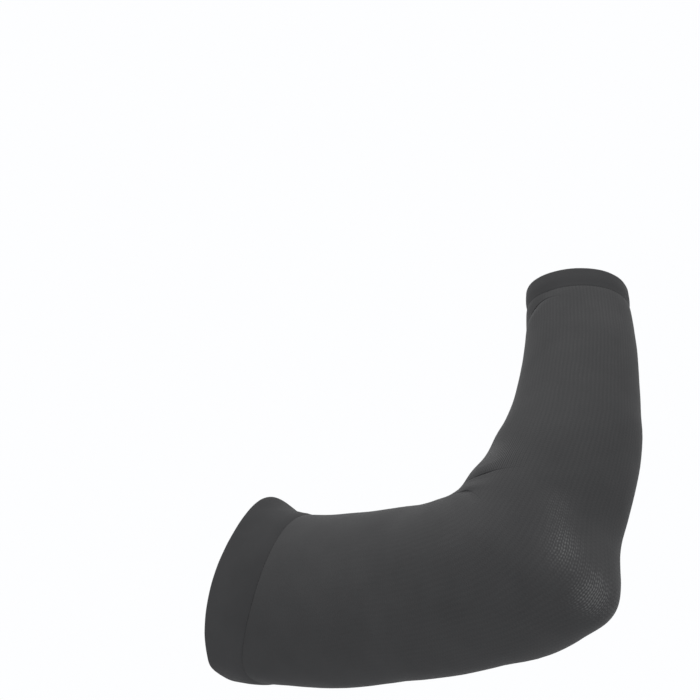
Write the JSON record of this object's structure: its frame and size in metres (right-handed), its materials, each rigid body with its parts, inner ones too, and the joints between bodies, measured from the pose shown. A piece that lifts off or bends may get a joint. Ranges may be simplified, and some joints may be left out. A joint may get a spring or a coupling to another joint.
{
  "type": "arm compression sleeve",
  "caption": "Knitted elastic tube worn over the elbow from the upper arm to the wrist, with a wide hem at the top and a narrow one at the wrist, in its worn bend.",
  "frame": {"origin": "where the axes of the upper arm and the forearm cross, just inside the point of the elbow", "axes": "+Z along the forearm towards the wrist, the upper arm runs towards -X, and the XZ plane holds both"},
  "size_m": [0.2792, 0.0998, 0.2349],
  "materials": {
    "ribbed_knit": "faded black elastic knit with fine ribs along the arm, matt with a soft fuzzy edge",
    "hem_knit": "faded black elastic knit, smooth and doubled, matt"
  },
  "bodies": {
    "root": {"upper_arm_cuff": "hem_knit", "sleeve_body": "ribbed_knit", "wrist_cuff": "hem_knit"}
  },
  "joints": []
}
